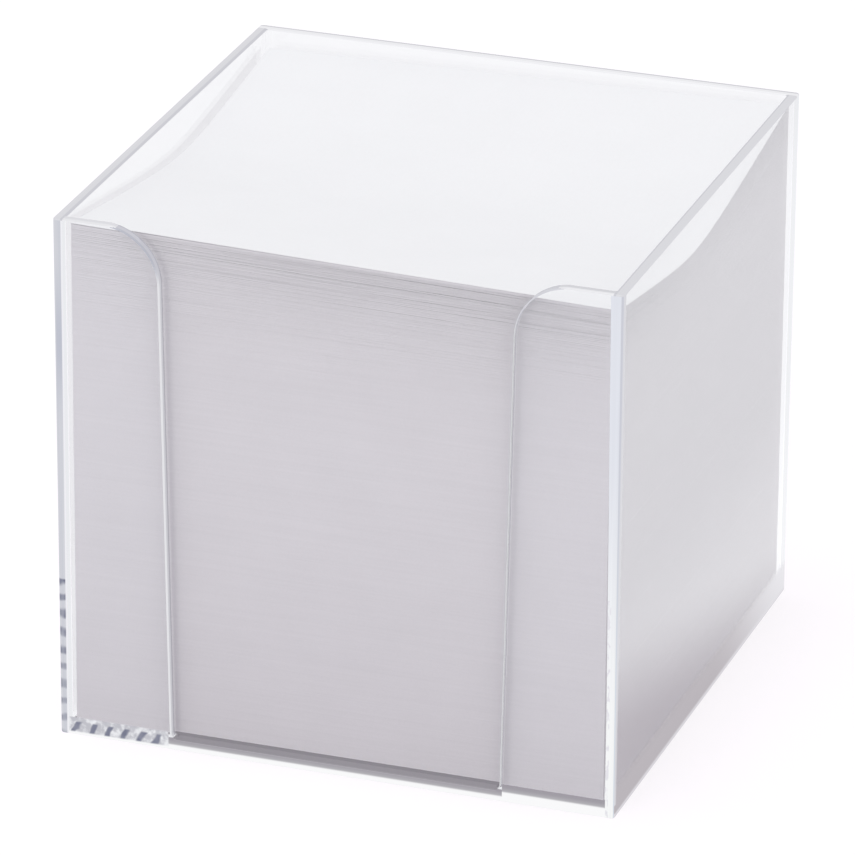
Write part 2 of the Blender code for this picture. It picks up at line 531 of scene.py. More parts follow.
@dataclass(frozen=True)
class Streaks:
    """Faint upright darker streaks in a corner, painted shade laid over its painted light."""

    colour: Colour
    band: Pair
    strength: float
    scale: float = 55.0
    detail: float = 2.0
    stretch: Triple = (60.0, 1.0, 0.5)

    def over(self, wiring: Wiring, spot: Spot, colour: Socket) -> Socket:
        """Lays the streaks over a colour.

        Args:
            wiring: the material's nodes.
            spot: the place on the object.
            colour: the colour without them.

        Returns:
            The colour with them.
        """
        grain = Grain(self.scale, self.detail, stretch=self.stretch, band=self.band)
        marks = wiring.times(grain.marks(wiring, spot.whole), self.strength)
        return wiring.blend(marks, colour, self.colour)


@dataclass(frozen=True)
class LeftCorner:
    """Painted light in the left front corner: pale, dimmer near the top, and broken into dark painted bars
    at the foot.
    """

    post: Colour = (0.63, 0.64, 0.69)
    dip: Colour = (0.51, 0.53, 0.61)
    dip_below_rim: float = 0.021
    dip_reach: float = 0.016
    line: Colour = (0.67, 0.68, 0.72)
    line_width: float = 0.0004
    # Dark bars of painted shade in the painted light at the foot.
    bars: Bars = Bars((0.12, 0.13, 0.21), pitch=0.0031, narrow=-0.5)
    bars_top: float = 0.0275
    bars_blur: float = 0.0002
    bars_pale_top: float = 0.004
    bars_pale_share: float = 0.65
    streaks: Streaks = Streaks((0.51, 0.53, 0.61), band=(0.40, 0.62), strength=0.30)
    strip: Colour = (0.86, 0.86, 0.90)
    strip_depth: float = 0.0014

    def look(self, wiring: Wiring, spot: Spot, box: Moulding) -> Socket:
        """Works out the light's colour.

        Args:
            wiring: the material's nodes.
            spot: the place on the object.
            box: the moulding, whose size places the light.

        Returns:
            The colour.
        """
        off = wiring.magnitude(wiring.minus(spot.z, box.height - self.dip_below_rim))
        colour = wiring.blend(wiring.between(off, self.dip_reach, 0.0), self.post, self.dip)
        on_line = wiring.below(spot.x, self.line_width - box.half_width)
        colour = wiring.blend(on_line, colour, self.line)
        rising = wiring.between(spot.z, self.bars_pale_top, self.bars_top)
        bars = wiring.all_of(
            wiring.under(spot.z, self.bars_top, self.bars_blur),
            wiring.plus(wiring.times(rising, 1.0 - self.bars_pale_share), self.bars_pale_share),
            self.bars.mask(wiring, spot, spot.z),
        )
        colour = self.streaks.over(wiring, spot, wiring.blend(bars, colour, self.bars.colour))
        on_strip = wiring.above(spot.x, self.strip_depth - box.half_width)
        return wiring.blend(on_strip, colour, self.strip)


@dataclass(frozen=True)
class RightCorner:
    """Painted light in the right front corner: white towards the foot, with small dim painted marks near
    its inner edge.
    """

    post: Colour = (0.76, 0.78, 0.85)
    post_foot: Colour = (0.96, 0.97, 0.97)
    foot_reach: Pair = (0.070, 0.010)
    # Small dim marks painted into the painted light near the corner's inner edge.
    dim_mark: Colour = (0.80, 0.79, 0.84)
    dim_marks: Grain = Grain(700.0, 2.0, stretch=(2.5, 1.0, 1.0), band=(0.52, 0.60))
    dim_marks_depth: float = 0.0012
    dim_marks_top: float = 0.038
    line: Colour = (0.60, 0.61, 0.68)
    line_foot: Colour = (0.68, 0.73, 0.80)
    line_width: float = 0.0004
    streaks: Streaks = Streaks((0.63, 0.64, 0.69), band=(0.42, 0.60), strength=0.12)

    def look(self, wiring: Wiring, spot: Spot, box: Moulding) -> Socket:
        """Works out the light's colour.

        Args:
            wiring: the material's nodes.
            spot: the place on the object.
            box: the moulding, whose size places the light.

        Returns:
            The colour.
        """
        at_foot = wiring.between(spot.z, *self.foot_reach)
        colour = wiring.blend(at_foot, self.post, self.post_foot)
        dim_marks = wiring.all_of(
            wiring.below(spot.x, box.half_width - self.dim_marks_depth),
            wiring.below(spot.z, self.dim_marks_top),
            self.dim_marks.marks(wiring, spot.whole),
        )
        colour = wiring.blend(dim_marks, colour, self.dim_mark)
        line = wiring.blend(at_foot, self.line, self.line_foot)
        colour = wiring.blend(wiring.above(spot.x, box.half_width - self.line_width), colour, line)
        return self.streaks.over(wiring, spot, colour)


@dataclass(frozen=True)
class FrontFoot:
    """Painted light along the front of the foot: white at the very foot, and above it dark painted shade
    under the sheets.

    Under the left flange it is broken into leaning dark bars of painted shade, with pale painted glints
    between them.
    """

    past_gap: float = 0.0005
    blur: float = 0.0002
    white: Colour = (0.96, 0.96, 0.97)
    white_top: float = 0.0010
    white_top_right: float = 0.0018
    # Painted shade above the white foot, under the sheets.
    shaded: Colour = (0.33, 0.31, 0.35)
    shaded_low: Colour = (0.43, 0.42, 0.45)
    shaded_fading: float = 0.0010
    bars: Bars = Bars((0.16, 0.17, 0.25), pitch=0.0028, narrow=0.1)
    bars_lean: float = 0.5
    bars_top: float = 0.0024
    bars_low: float = 0.0006
    between_bars: Colour = (0.52, 0.52, 0.57)
    # Pale painted glints between the dark bars.
    glint: Colour = (0.86, 0.87, 0.90)
    glints: Grain = Grain(1000.0, 2.0, band=(0.35, 0.75))

    def flange_start(self, box: Moulding) -> float:
        """How far from the middle the light under the flanges starts."""
        return box.half_width - box.flange_at_floor + self.past_gap

    def look(self, wiring: Wiring, spot: Spot, box: Moulding) -> Socket:
        """Works out the light's colour.

        Args:
            wiring: the material's nodes.
            spot: the place on the object.
            box: the moulding, whose size places the light.

        Returns:
            The colour.
        """
        flange_start = self.flange_start(box)
        at_right = wiring.above(spot.x, flange_start)
        step = wiring.times(at_right, self.white_top_right - self.white_top)
        height = wiring.minus(spot.z, wiring.plus(step, self.white_top))
        shaded = wiring.blend(
            wiring.between(height, self.shaded_fading, 0.0), self.shaded, self.shaded_low
        )
        plain = wiring.blend(wiring.under(height, 0.0, self.blur), shaded, self.white)
        barred = wiring.blend(self.glints.marks(wiring, spot.whole), self.between_bars, self.glint)
        bars = wiring.all_of(
            wiring.under(spot.z, self.bars_top, self.blur),
            self.bars.mask(wiring, spot, wiring.minus(spot.x, wiring.times(spot.z, self.bars_lean))),
        )
        barred = wiring.blend(bars, barred, self.bars.colour)
        barred = wiring.blend(wiring.under(spot.z, self.bars_low, self.blur), barred, self.white)
        return wiring.blend(wiring.under(spot.x, -flange_start, self.blur), plain, barred)


@dataclass(frozen=True)
class SideEdge:
    """Painted light and shade on the side walls: along their foot, dark at the front and paler at the back,
    and in a strip at the front corner.
    """

    # Painted shade along the foot of the side walls, dark at the front and paler towards the back.
    foot: Colour = (0.50, 0.47, 0.50)
    foot_back: Colour = (0.82, 0.81, 0.85)
    foot_fading: Pair = (0.004, 0.051)
    foot_top: float = 0.0054
    foot_blur: float = 0.0009
    line: Colour = (0.76, 0.75, 0.79)
    line_top: float = 0.0008
    line_blur: float = 0.0002
    strip: Colour = (0.70, 0.70, 0.74)
    strip_depth: float = 0.0012
    strip_low: float = 0.0022

    def look(self, wiring: Wiring, spot: Spot, box: Moulding) -> tuple[Socket, Socket]:
        """Works out where the light shows, and its colour.

        Args:
            wiring: the material's nodes.
            spot: the place on the object.
            box: the moulding, whose size places the light.

        Returns:
            The mask and the colour.
        """
        in_strip = wiring.below(spot.y, self.strip_depth - box.half_depth)
        shows = wiring.higher(in_strip, wiring.under(spot.z, self.foot_top, self.foot_blur))
        to_back = wiring.between(spot.y, *self.foot_fading)
        colour = wiring.blend(to_back, self.foot, self.foot_back)
        line = wiring.under(spot.z, self.line_top, self.line_blur)
        colour = wiring.blend(line, colour, self.line)
        strip = wiring.all_of(in_strip, wiring.above(spot.z, self.strip_low))
        return shows, wiring.blend(strip, colour, self.strip)


@dataclass(frozen=True)
class FootAndPosts:
    """Painted light and shade in the ends of the moulding's walls and floor.

    They stand in for the light that the thickness of the plastic carries along and lets out at the front
    corners and round the foot; the floor's ledge in the finger gap is painted dark, painted shade for the
    shadow under the stack. Here and in the classes of its parts and of the other ends, a width or a depth
    counts from the outer face of the wall, and a top from the foot.
    """

    outer_depth: float = 0.0005
    right_post_width: float = 0.0016
    right_post_lean: float = 0.0055
    above_floor: float = 0.0002
    flange_foot_step: float = 0.00095
    # Painted shade on the floor's ledge in the finger gap.
    sill_shade: Colour = (0.285, 0.27, 0.30)
    sill_depth: float = 0.0035
    # Painted light along the foot of the back wall.
    back_foot: Colour = (0.80, 0.80, 0.84)
    left: LeftCorner = LeftCorner()
    right: RightCorner = RightCorner()
    front: FrontFoot = FrontFoot()
    side: SideEdge = SideEdge()

    def look(self, wiring: Wiring, box: Moulding) -> tuple[Socket, Socket]:
        """Works out where the painted light and shade show, and their colour.

        Args:
            wiring: the material's nodes.
            box: the moulding, whose size places the light.

        Returns:
            The mask and the colour.
        """
        spot = wiring.place()
        sideways, ahead, upward = wiring.facing()
        to_side = wiring.magnitude(spot.x)
        outside = wiring.any_of(
            wiring.above(to_side, box.half_width - self.outer_depth),
            wiring.above(wiring.magnitude(spot.y), box.half_depth - self.outer_depth),
        )
        foot_top = box.floor + self.above_floor
        step = wiring.times(wiring.above(to_side, self.front.flange_start(box)), self.flange_foot_step)
        in_foot = wiring.below(wiring.minus(spot.z, step), foot_top)
        leaning = wiring.plus(spot.x, wiring.times(spot.z, self.right_post_lean))
        in_post = wiring.any_of(
            wiring.above(to_side, box.half_width - box.wall),
            wiring.above(leaning, box.half_width - self.right_post_width),
        )
        at_front, at_back = wiring.below(ahead, -FACING), wiring.above(ahead, FACING)
        at_side = wiring.above(wiring.magnitude(sideways), FACING)
        on_sill = wiring.all_of(
            wiring.above(upward, FACING),
            wiring.below(spot.y, self.sill_depth - box.half_depth),
            wiring.below(spot.z, foot_top),
        )
        beside, side_colour = self.side.look(wiring, spot, box)
        shows = wiring.any_of(
            wiring.all_of(at_front, wiring.higher(in_foot, in_post)),
            wiring.all_of(at_back, in_foot),
            wiring.all_of(at_side, beside),
        )
        left, right = self.left.look(wiring, spot, box), self.right.look(wiring, spot, box)
        posts = wiring.blend(wiring.above(spot.x, 0.0), left, right)
        front_colour = wiring.blend(in_post, self.front.look(wiring, spot, box), posts)
        colour = wiring.blend(at_back, side_colour, self.back_foot)
        colour = wiring.blend(at_front, colour, front_colour)
        # The floor's ledge in the finger gap is painted dark: painted shade.
        colour = wiring.blend(on_sill, colour, self.sill_shade)
        return wiring.higher(wiring.all_of(outside, shows), on_sill), colour


@dataclass(frozen=True)
class RimLight:
    """Painted light all along the rim, with a thin darker painted line along one side of it."""

    side: Colour = (0.68, 0.68, 0.72)
    side_line: Colour = (0.58, 0.58, 0.63)
    side_line_depth: float = 0.0013
    back: Colour = (0.85, 0.85, 0.88)
    back_line: Colour = (0.60, 0.60, 0.64)
    back_line_width: float = 0.0007
    front: Colour = (0.80, 0.80, 0.83)
    front_line_left: Colour = (0.71, 0.71, 0.75)
    front_line_right: Colour = (0.63, 0.63, 0.67)
    front_line_depth: float = 0.0006

    def look(self, wiring: Wiring, box: Moulding) -> tuple[None, Socket]:
        """Works out the light's colour; it shows all over.

        Args:
            wiring: the material's nodes.
            box: the moulding, whose size places the light.

        Returns:
            None for the mask, and the colour.
        """
        spot = wiring.place()
        to_side = wiring.magnitude(spot.x)
        on_line = wiring.below(to_side, box.half_width - self.side_line_depth)
        side = wiring.blend(on_line, self.side, self.side_line)
        on_line = wiring.above(spot.y, box.half_depth - self.back_line_width)
        back = wiring.blend(on_line, self.back, self.back_line)
        line = wiring.blend(wiring.above(spot.x, 0.0), self.front_line_left, self.front_line_right)
        on_edge = wiring.below(spot.y, self.front_line_depth - box.half_depth)
        front = wiring.blend(on_edge, line, self.front)
        at_front = wiring.all_of(
            wiring.below(spot.y, box.wall - box.half_depth),
            wiring.below(to_side, box.half_width - box.wall),
        )
        colour = wiring.blend(at_front, side, front)
        return None, wiring.blend(wiring.above(spot.y, box.half_depth - box.wall), colour, back)


@dataclass(frozen=True)
class ThreeBands:
    """Three bands of painted light and shade through the wall's thickness: a line in front, a middle one
    and the rest.
    """

    line_left: Colour
    line_right: Colour
    line_width: float
    middle: Colour
    middle_depth: float
    behind: Colour

    def look(self, wiring: Wiring, spot: Spot, box: Moulding) -> Socket:
        """Works out the light's colour.

        Args:
            wiring: the material's nodes.
            spot: the place on the object.
            box: the moulding, whose size places the light.

        Returns:
            The colour.
        """
        is_behind = wiring.above(spot.y, self.middle_depth - box.half_depth)
        inner = wiring.blend(is_behind, self.middle, self.behind)
        line = wiring.blend(wiring.above(spot.x, 0.0), self.line_left, self.line_right)
        return wiring.blend(wiring.below(spot.y, self.line_width - box.half_depth), inner, line)


@dataclass(frozen=True)
class GapEdgeLight:
    """Painted light and shade all over the flanges' ends, in three bands that are more alike round their
    tops.
    """

    upright: ThreeBands = ThreeBands(
        line_left=(0.79, 0.79, 0.82),
        line_right=(0.66, 0.66, 0.69),
        line_width=0.0004,
        middle=(0.62, 0.62, 0.66),
        middle_depth=0.0011,
        # A dark band of painted shade at the back of the flange's end.
        behind=(0.42, 0.41, 0.46),
    )
    curve: ThreeBands = ThreeBands(
        line_left=(0.47, 0.48, 0.55),
        line_right=(0.64, 0.64, 0.69),
        line_width=0.0003,
        middle=(0.57, 0.57, 0.63),
        middle_depth=0.0012,
        behind=(0.48, 0.48, 0.54),
    )
    curve_below_rim: Pair = (0.0100, 0.0048)

    def look(self, wiring: Wiring, box: Moulding) -> tuple[None, Socket]:
        """Works out the light's colour; it shows all over.

        Args:
            wiring: the material's nodes.
            box: the moulding, whose size places the light.

        Returns:
            None for the mask, and the colour.
        """
        spot = wiring.place()
        start, end = self.curve_below_rim
        in_curve = wiring.between(spot.z, box.height - start, box.height - end)
        upright, curve = self.upright.look(wiring, spot, box), self.curve.look(wiring, spot, box)
        return None, wiring.blend(in_curve, upright, curve)


def new_material(name: str) -> tuple[Material, Wiring]:
    """Starts a material.

    Args:
        name: its name.

    Returns:
        The material, and the wiring of its nodes.
    """
    material = bpy.data.materials.new(name)
    material.use_nodes = True
    return material, Wiring(material.node_tree)


@dataclass(frozen=True)
class ClearPlastic:
    """Glass-clear polystyrene.

    A ray that has been turned inside the moulding a few times shows painted light, a glow in place
    of the light that the walls carry along. Where a wall or the floor ends, its outer face shows
    painted light and shade at once.
    """

    name: str
    # The painted light and shade that the ends of the walls and floor show.
    edge: FootAndPosts | RimLight | GapEdgeLight
    tint: Colour = (0.995, 0.996, 1.0)
    shade_tint: Colour = (0.985, 0.985, 0.988)
    # Painted light: the glow that rays turned a few times inside the moulding show.
    painted_carried_light: Colour = (0.82, 0.83, 0.86)
    refraction: float = 1.59
    smooth: float = 0.0
    marked: float = 0.06
    ripple: float = 0.00001
    most_turns: float = 2.5

    def make(self, marks: EffectGroup, box: Moulding) -> Material:
        """Makes the material.

        Args:
            marks: the group of handling marks.
            box: the moulding that it is for.

        Returns:
            The material.
        """
        material, wiring = new_material(self.name)
        worn = marks.place(wiring, {"Smooth": self.smooth, "Marked": self.marked})
        normal = wiring.bump(worn["Height"], self.ripple)
        rays = wiring.add("LightPath").outputs
        caught = wiring.above(rays["Glossy Depth"], self.most_turns)
        clear = self.clear(wiring, worn["Roughness"], normal)
        # Rays turned more than a few times inside show painted light, a glow of one colour.
        clear = wiring.mix(caught, clear, wiring.glow(self.painted_carried_light))
        # Where a wall or the floor ends, its outer face shows painted light and shade.
        mask, colour = self.edge.look(wiring, box)
        body = self.end(wiring, colour, worn["Roughness"], normal)
        if mask is not None:
            front = wiring.minus(1.0, wiring.add("NewGeometry").outputs["Backfacing"])
            body = wiring.mix(wiring.all_of(front, mask), clear, body)
        shade = wiring.add("BsdfTransparent")
        wiring.feed(self.shade_tint, shade.inputs["Color"])
        lighting = wiring.higher(rays["Is Shadow Ray"], rays["Is Diffuse Ray"])
        wiring.put_out(wiring.mix(lighting, body, shade))
        return material

    def clear(self, wiring: Wiring, roughness: Socket, normal: Socket) -> Node:
        """The clear plastic itself.

        Args:
            wiring: the material's nodes.
            roughness: the surface's roughness.
            normal: the rippled surface's direction.

        Returns:
            The shader.
        """
        shader = wiring.add("BsdfPrincipled")
        wiring.feed(self.tint, shader.inputs["Base Color"])
        shader.inputs["Metallic"].default_value = 0.0
        shader.inputs["Transmission Weight"].default_value = 1.0
        shader.inputs["IOR"].default_value = self.refraction
        wiring.link(roughness, shader.inputs["Roughness"])
        wiring.link(normal, shader.inputs["Normal"])
        return shader

    def end(self, wiring: Wiring, colour: Socket, roughness: Socket, normal: Socket) -> Node:
        """The end of a wall or of the floor: a glow of painted light, under a polished surface.

        Args:
            wiring: the material's nodes.
            colour: the light's colour.
            roughness: the surface's roughness.
            normal: the rippled surface's direction.

        Returns:
            The shader.
        """
        gloss = wiring.add("BsdfGlossy")
        wiring.link(roughness, gloss.inputs["Roughness"])
        wiring.link(normal, gloss.inputs["Normal"])
        fresnel = wiring.add("Fresnel")
        fresnel.inputs["IOR"].default_value = self.refraction
        return wiring.mix(fresnel.outputs[0], wiring.glow(colour), gloss)


# Each finish also paints light and shade, as glows, into the moulding's ends and rim.
BOX_FINISHES_AND_PAINTED_LIGHT = {
    BoxFace.POLISHED: ClearPlastic("clear_plastic_polished_painted_light", FootAndPosts()),
    BoxFace.RIM: ClearPlastic(
        "clear_plastic_rim_painted_light", RimLight(), shade_tint=(0.93, 0.93, 0.94), smooth=0.05, marked=0.1
    ),
    BoxFace.GAP_EDGE: ClearPlastic(
        "clear_plastic_gap_edge_painted_light", GapEdgeLight(), shade_tint=(0.45, 0.45, 0.48), smooth=0.05, marked=0.2
    ),
}


@dataclass(frozen=True)
class Paper:
    """Uncoated white note paper."""

    name: str
    tone: Colour
    cloudiness: float = 0.03
    layers: float = 0.0
    roughness: float = 0.85
    sheen: float = 0.25
    tooth: float = 0.00001

    def make(self, fibre: EffectGroup) -> Material:
        """Makes the material.

        Args:
            fibre: the group of paper fibres.

        Returns:
            The material.
        """
        material, wiring = new_material(self.name)
        shader = wiring.add("BsdfPrincipled")
        shader.inputs["Metallic"].default_value = 0.0
        shader.inputs["Specular IOR Level"].default_value = self.sheen
        values = {"Tone": self.tone, "Cloudiness": self.cloudiness, "Layers": self.layers}
        pulp = fibre.place(wiring, {**values, "Roughness": self.roughness})
        wiring.link(pulp["Colour"], shader.inputs["Base Color"])
        wiring.link(pulp["Roughness"], shader.inputs["Roughness"])
        wiring.link(wiring.bump(pulp["Height"], self.tooth), shader.inputs["Normal"])
        wiring.put_out(shader)
        return material


SHEET_FINISHES = {
    SheetFace.FLAT: Paper("note_paper_face", (0.905, 0.908, 0.925)),
    SheetFace.CUT_EDGE: Paper("note_paper_cut_edge", (0.870, 0.850, 0.880), cloudiness=0.05, layers=0.06),
}


def new_object(name: str, data: bpy.types.ID) -> bpy.types.Object:
    """Puts a mesh, a lamp or a camera into the scene.

    Args:
        name: the object's name.
        data: what it shows.

    Returns:
        The object.
    """
    obj = bpy.data.objects.new(name, data)
    bpy.context.scene.collection.objects.link(obj)
    return obj


def mesh_object(name: str, bm: bmesh.types.BMesh) -> bpy.types.Object:
    """Puts a bmesh into a new object of the scene.

    Args:
        name: the object's name.
        bm: the mesh, which is freed.

    Returns:
        The object.
    """
    mesh = bpy.data.meshes.new(name)
    bmesh.ops.recalc_face_normals(bm, faces=bm.faces)
    bm.to_mesh(mesh)
    bm.free()
    return new_object(name, mesh)


def arc(centre: Pair, radius: float, start: float, end: float, steps: int) -> Outline:
    """Points along a part of a circle.

    Args:
        centre: the circle's middle.
        radius: its radius.
        start: the first point's angle, in degrees.
        end: the last point's angle, in degrees.
        steps: how many steps lie between them.

    Returns:
        The points, both ends included.
    """
    angles = [math.radians(start + (end - start) * step / steps) for step in range(steps + 1)]
    return [(centre[0] + radius * math.cos(a), centre[1] + radius * math.sin(a)) for a in angles]


@dataclass
class Moulding:
    """The one-piece box: four drafted walls on a floor, with a finger gap between two front flanges."""

    width: float
    depth: float
    height: float
    wall: float = 0.0017
    floor: float = 0.0020
    draft: float = 0.0002
    outer_radius: float = 0.0006
    inner_radius: float = 0.0003
    flange_at_rim: float = 0.0180
    flange_at_floor: float = 0.0195
    flange_top_radius: float = 0.0096
    flange_foot_radius: float = 0.0009
    rim_run_out: float = 0.00005
    base_rim: float = 0.0026
    recess: float = 0.0006
    recess_radius: float = 0.0020
    gate_radius: float = 0.0014
    gate_height: float = 0.0003
    edge_radius: float = 0.00025
    corner_steps: int = 6
    flange_steps: int = 32
    foot_steps: int = 8
    edge_steps: int = 3
    gate_steps: int = 32
    overrun: float = 0.0010
    join: float = 0.0005
    sharp_degrees: float = 45.0
    facing_degrees: float = 10.0
    flat_weight: int = 100

    def __post_init__(self) -> None:
        """Works out how far the outer faces stand from the middle."""
        self.half_width = self.width / 2
        self.half_depth = self.depth / 2

    def block(
        self, name: str, size: Pair, low: float, high: float, radius: float, round_foot: bool = False
    ) -> bpy.types.Object:
        """A drafted block with rounded upright edges.

        Args:
            name: the block's name.
            size: its width and depth at the height of the rim.
            low: the height of its lower face.
            high: the height of its upper face.
            radius: the radius of its edges.
            round_foot: whether the edges of its lower face are rounded too.

        Returns:
            The block.
        """
        bm = bmesh.new()
        bmesh.ops.create_cube(bm, size=1.0)
        for vert in bm.verts:
            level = high if vert.co.z > 0 else low
            inset = self.draft * (self.height - level) / self.height
            vert.co.x = math.copysign(size[0] / 2 - inset, vert.co.x)
            vert.co.y = math.copysign(size[1] / 2 - inset, vert.co.y)
            vert.co.z = level
        middle = (low + high) / 2
        rounded = [
            edge
            for edge in bm.edges
            if (edge.verts[0].co.z > middle) != (edge.verts[1].co.z > middle)
            or (round_foot and max(vert.co.z for vert in edge.verts) < middle)
        ]
        steps = self.corner_steps
        bmesh.ops.bevel(
            bm, geom=rounded, offset=radius, segments=steps, profile=ROUND_PROFILE, affect="EDGES"
        )
        return mesh_object(name, bm)

    def gap_outline(self) -> Outline:
        """The finger gap seen from the front: its sill, its slanted sides and the flanges' round tops.

        Returns:
            The outline's points, across and up.
        """
        at_floor = self.half_width - self.flange_at_floor
        at_rim = self.half_width - self.flange_at_rim
        foot = (at_floor - self.flange_foot_radius, self.floor + self.flange_foot_radius)
        top = (at_rim + self.flange_top_radius, self.height - self.flange_top_radius + self.rim_run_out)
        right = arc(foot, self.flange_foot_radius, -90, 0, self.foot_steps)
        right += arc(top, self.flange_top_radius, 180, 90, self.flange_steps)
        right.append((top[0], self.height + self.overrun))
        return right + [(-x, z) for x, z in reversed(right)]

    def gap_cutter(self) -> bpy.types.Object:
        """The finger gap's outline, extruded through the front wall.

        Returns:
            The cutter.
        """
        front = -self.half_depth - self.overrun
        back = -self.half_depth + self.wall + self.draft + self.inner_radius + self.overrun
        bm = bmesh.new()
        ring = [bm.verts.new((x, front, z)) for x, z in self.gap_outline()]
        lid = bm.faces.new(ring)
        grown = bmesh.ops.extrude_face_region(bm, geom=[lid])
        moved = [item for item in grown["geom"] if isinstance(item, bmesh.types.BMVert)]
        bmesh.ops.translate(bm, verts=moved, vec=(0.0, back - front, 0.0))
        return mesh_object("finger_gap_cutter", bm)

    def gate_mark(self) -> bpy.types.Object:
        """The stub that the moulding gate leaves under the floor.

        Returns:
            The stub, which reaches into the floor.
        """
        bm = bmesh.new()
        low, high = self.recess - self.gate_height, self.recess + self.join
        radii = {"radius1": self.gate_radius, "radius2": self.gate_radius}
        bmesh.ops.create_cone(bm, cap_ends=True, segments=self.gate_steps, depth=high - low, **radii)
        bmesh.ops.translate(bm, verts=bm.verts, vec=(0.0, 0.0, (low + high) / 2))
        return mesh_object("gate_mark", bm)

    def shape(self, shell: bpy.types.Object, helper: bpy.types.Object, how: Shaping) -> None:
        """Cuts a helper out of the shell, or joins it on.

        Args:
            shell: the shell.
            helper: the helper solid.
            how: whether it is cut out or joined on.
        """
        helper.hide_render = True
        modifier = shell.modifiers.new(helper.name, "BOOLEAN")
        modifier.operation = how.value
        modifier.solver = "EXACT"
        modifier.object = helper

    def round_edges(self, shell: bpy.types.Object) -> None:
        """Rounds the shell's sharp edges a little.

        Args:
            shell: the shell.
        """
        modifier = shell.modifiers.new("edge_rounding", "BEVEL")
        modifier.limit_method = "ANGLE"
        modifier.angle_limit = math.radians(self.sharp_degrees)
        modifier.width = self.edge_radius
        modifier.segments = self.edge_steps
        modifier.use_clamp_overlap = False

    def build(self) -> bpy.types.Object:
        """Builds the moulding.

        Returns:
            The moulding, as a plain mesh.
        """
        size = (self.width, self.depth)
        shell = self.block("box_moulding", size, 0.0, self.height, self.outer_radius)
        cavity = (self.width - 2 * self.wall, self.depth - 2 * self.wall)
        above = self.height + self.overrun
        recess = (self.width - 2 * self.base_rim, self.depth - 2 * self.base_rim)
        helpers = [
            self.block("cavity_cutter", cavity, self.floor, above, self.inner_radius, round_foot=True),
            self.gap_cutter(),
            self.block("recess_cutter", recess, -self.overrun, self.recess, self.recess_radius),
        ]
        for helper in helpers:
            self.shape(shell, helper, Shaping.CUT)
        self.round_edges(shell)
        helpers.append(self.gate_mark())
        self.shape(shell, helpers[-1], Shaping.JOIN)
        smooth = shell.modifiers.new("even_shading", "WEIGHTED_NORMAL")
        smooth.keep_sharp = False
        smooth.weight = self.flat_weight
        for polygon in shell.data.polygons:
            polygon.use_smooth = True
        bpy.context.view_layer.update()
        evaluated = shell.evaluated_get(bpy.context.evaluated_depsgraph_get())
        mesh = bpy.data.meshes.new_from_object(evaluated)
        shell.modifiers.clear()
        shell.data = mesh
        for helper in helpers:
            bpy.data.objects.remove(helper, do_unlink=True)
        return shell

    def face_kind(self, polygon: bpy.types.MeshPolygon) -> BoxFace:
        """Works out which finish, with its painted light, a face of the moulding has.

        Args:
            polygon: the face.

        Returns:
            The rim's, that of the finger gap's edges, or that of the rest.
        """
        centre, normal = polygon.center, polygon.normal
        if centre.z > self.height - self.edge_radius:
            return BoxFace.RIM
        in_gap = (
            abs(centre.x) < self.half_width - self.flange_at_rim + self.flange_top_radius
            and centre.y < -self.half_depth + self.wall + self.edge_radius
            and centre.z > self.floor + self.edge_radius
            and abs(normal.y) < math.cos(math.radians(self.facing_degrees))
        )
        return BoxFace.GAP_EDGE if in_gap else BoxFace.POLISHED

    def dress(self, shell: bpy.types.Object, marks: EffectGroup) -> None:
        """Gives the moulding its finishes, with their painted light and shade.

        Args:
            shell: the moulding.
            marks: the group of handling marks.
        """
        shell.data.materials.clear()
        for kind in BoxFace:
            shell.data.materials.append(BOX_FINISHES_AND_PAINTED_LIGHT[kind].make(marks, self))
        for polygon in shell.data.polygons:
            polygon.material_index = self.face_kind(polygon).value


@dataclass
class SheetMesh:
    """A mesh of thin closed slabs, each a grid with a top, a bottom and four cut edges."""

    columns: int
    rows: int
    sharp_degrees: float = 45.0

    def __post_init__(self) -> None:
        """Starts with no sheet, and works out one sheet's faces."""
        self.points: list[np.ndarray] = []
        self.faces: list[np.ndarray] = []
        self.count = 0
        across, along = self.columns + 1, self.rows + 1
        top = np.arange(across * along).reshape(along, across)
        under = top + across * along
        cells = np.stack([top[:-1, :-1], top[:-1, 1:], top[1:, 1:], top[1:, :-1]], -1).reshape(-1, 4)
        self.flats = np.vstack([cells, cells[:, ::-1] + across * along])
        sides = (np.s_[0, :], np.s_[-1, ::-1], np.s_[::-1, 0], np.s_[:, -1])
        self.edges = np.vstack([self.strip(top[side], under[side]) for side in sides])

    @staticmethod
    def strip(upper: np.ndarray, lower: np.ndarray) -> np.ndarray:
        """The faces between a row of points along the top and one along the bottom."""
        return np.stack([upper[:-1], lower[:-1], lower[1:], upper[1:]], 1)

    def add(self, x: np.ndarray, y: np.ndarray, low: np.ndarray, thickness: np.ndarray | float) -> None:
        """Adds a sheet.

        Args:
            x: the grid's places across.
            y: the grid's places along.
            low: the height of its underside at each.
            thickness: the sheet's thickness, one value or one at each.
        """
        for level in (low + thickness, low):
            self.points.append(np.stack([x, y, level], -1).reshape(-1, 3))
        self.faces.append(np.vstack([self.flats, self.edges]) + self.count)
        self.count += 2 * x.size

    def finish(self, name: str, finishes: Finishes) -> bpy.types.Object:
        """Makes the object.

        Args:
            name: its name.
            finishes: the finishes of the sheets' faces and edges.

        Returns:
            The object.
        """
        mesh = bpy.data.meshes.new(name)
        faces = np.vstack(self.faces)
        mesh.from_pydata(np.vstack(self.points).tolist(), [], faces.tolist())
        kinds = [SheetFace.FLAT.value] * len(self.flats) + [SheetFace.CUT_EDGE.value] * len(self.edges)
        indices = np.tile(np.array(kinds, dtype=np.int32), len(self.faces))
        mesh.polygons.foreach_set("material_index", indices)
        mesh.polygons.foreach_set("use_smooth", indices == SheetFace.FLAT.value)
        for material in finishes:
            mesh.materials.append(material)
        mesh.update()
        mesh.set_sharp_from_angle(angle=math.radians(self.sharp_degrees))
        return new_object(name, mesh)


